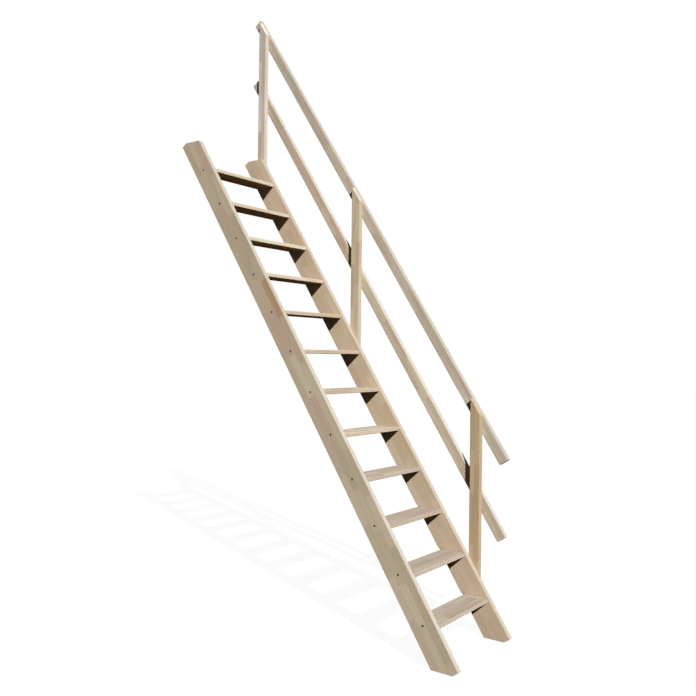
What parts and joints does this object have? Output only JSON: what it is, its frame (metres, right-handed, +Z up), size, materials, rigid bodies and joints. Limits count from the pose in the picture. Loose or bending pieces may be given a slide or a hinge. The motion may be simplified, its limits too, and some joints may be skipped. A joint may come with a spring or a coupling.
{
  "type": "wooden stringer staircase",
  "caption": "Steep straight wooden stair with open risers, narrow treads housed between two slanted stringer boards, and a slanted post-and-rail handrail on its right side.",
  "frame": {"origin": "middle of the left stringer's sole, on the lower floor", "axes": "+Z up, +Y the way the flight climbs, +X to the right when climbing, towards the railing"},
  "size_m": [0.626, 1.9405, 3.6978],
  "materials": {
    "stringer_spruce": "planed, untreated, matte",
    "tread_spruce": "planed, untreated, matte",
    "post_spruce": "planed, untreated, matte",
    "rail_spruce": "planed, untreated, matte",
    "zinc_plated_steel": "yellow-passivated screw heads"
  },
  "bodies": {
    "root": {"left_stringer": "stringer_spruce", "right_stringer": "stringer_spruce", "tread_01": "tread_spruce", "tread_02": "tread_spruce", "tread_03": "tread_spruce", "tread_04": "tread_spruce", "tread_05": "tread_spruce", "tread_06": "tread_spruce", "tread_07": "tread_spruce", "tread_08": "tread_spruce", "tread_09": "tread_spruce", "tread_10": "tread_spruce", "tread_11": "tread_spruce", "tread_12": "tread_spruce", "bottom_post": "post_spruce", "middle_post": "post_spruce", "top_post": "post_spruce", "handrail": "rail_spruce", "knee_rail": "rail_spruce"}
  },
  "joints": []
}
